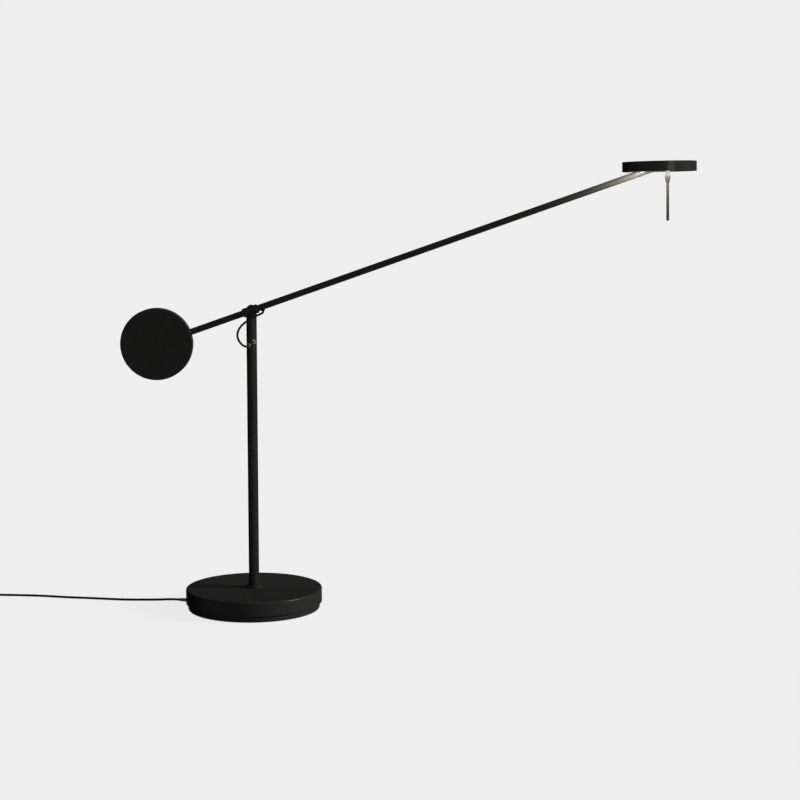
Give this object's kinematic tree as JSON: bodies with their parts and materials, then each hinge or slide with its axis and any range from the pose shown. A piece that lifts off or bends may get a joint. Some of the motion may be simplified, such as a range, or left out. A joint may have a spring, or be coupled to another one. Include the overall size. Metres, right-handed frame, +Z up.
{
  "type": "counterweight balance desk lamp",
  "caption": "Slim black balance desk lamp: round weighted base, straight post, long tilting arm with a disc counterweight and a flat round lit head with a handle rod.",
  "frame": {"origin": "centre of the round base's underside, on the table", "axes": "+Z up, +X along the arm from the post towards the head at rest, +Y away from the side that carries the arm"},
  "size_m": [1.0288, 0.185, 0.6042],
  "materials": {
    "black_coat": "fine textured matte powder coat",
    "black_coat_aluminium": "fine textured matte powder coat",
    "black_coat_iron": "fine textured matte powder coat",
    "bright_ring": "satin",
    "steel": "satin",
    "ballast_iron": "rough",
    "plain_aluminium": "satin",
    "brass": "satin",
    "black_rubber": "matte",
    "black_plastic": "matte",
    "board_green": "satin",
    "light_board_white": "matte",
    "light_chip": "satin",
    "opal": "satin, lit from behind",
    "white_plastic": "matte"
  },
  "bodies": {
    "base": {"base_cover": "black_coat", "base_plate": "black_coat", "foot_pad": "black_rubber", "base_ballast": "ballast_iron", "base_screws": "steel", "control_board": "board_green", "touch_contact": "steel", "stop_pin": "steel", "post_bush": "black_plastic", "cord_relief": "black_rubber", "mains_cord": "black_rubber", "cord_coil": "black_rubber", "adapter_relief": "black_rubber", "adapter_case": "black_plastic", "adapter_face": "black_plastic", "adapter_board": "board_green", "plug_pins": "steel"},
    "post": {"post_spindle": "black_coat", "stop_washer": "steel", "lock_nut": "steel", "post_tube": "black_coat", "post_cap": "black_coat", "friction_washer": "black_plastic", "pivot_plug": "black_plastic", "post_gland": "black_rubber", "gland_tip_ring": "bright_ring", "gland_seat_ring": "bright_ring", "post_lead": "black_rubber", "loop_cable": "black_rubber"},
    "arm": {"arm_sleeve": "black_coat", "sleeve_set_screw": "steel", "arm_tube": "black_coat", "pivot_insert": "brass", "pivot_screw": "steel", "spring_washer": "steel", "arm_grommet": "black_rubber", "arm_lead": "black_rubber", "counterweight": "black_coat_iron", "weight_set_screw": "steel", "tip_bush": "brass"},
    "knuckle": {"head_knuckle": "black_coat", "knuckle_clip": "steel"},
    "head": {"head_shell": "black_coat_aluminium", "head_hub": "steel", "hub_screws": "steel", "hinge_pin": "steel", "heat_spreader": "plain_aluminium", "light_board": "light_board_white", "light_chips": "light_chip", "spacer_ring": "white_plastic", "diffuser": "opal", "handle_socket": "black_coat", "handle_rod": "black_coat"}
  },
  "joints": [
    {"name": "post_swivel", "type": "hinge", "parent": "base", "child": "post", "pos_m": [0, 0, 0.028], "axis": [0, 0, 1], "range_deg": [-155, 155]},
    {"name": "arm_tilt", "type": "hinge", "parent": "post", "child": "arm", "pos_m": [0, -0.014, 0.406], "axis": [0, -1, 0], "range_deg": [-45, 40], "deforming": ["loop_cable"]},
    {"name": "head_roll", "type": "hinge", "parent": "arm", "child": "knuckle", "pos_m": [0.54141, -0.014, 0.59666], "axis": [0.9432, 0, 0.3322], "range_deg": [-90, 90]},
    {"name": "head_tilt", "type": "hinge", "parent": "knuckle", "child": "head", "pos_m": [0.54141, -0.014, 0.59666], "axis": [0, 1, 0], "range_deg": [-5, 65]}
  ]
}
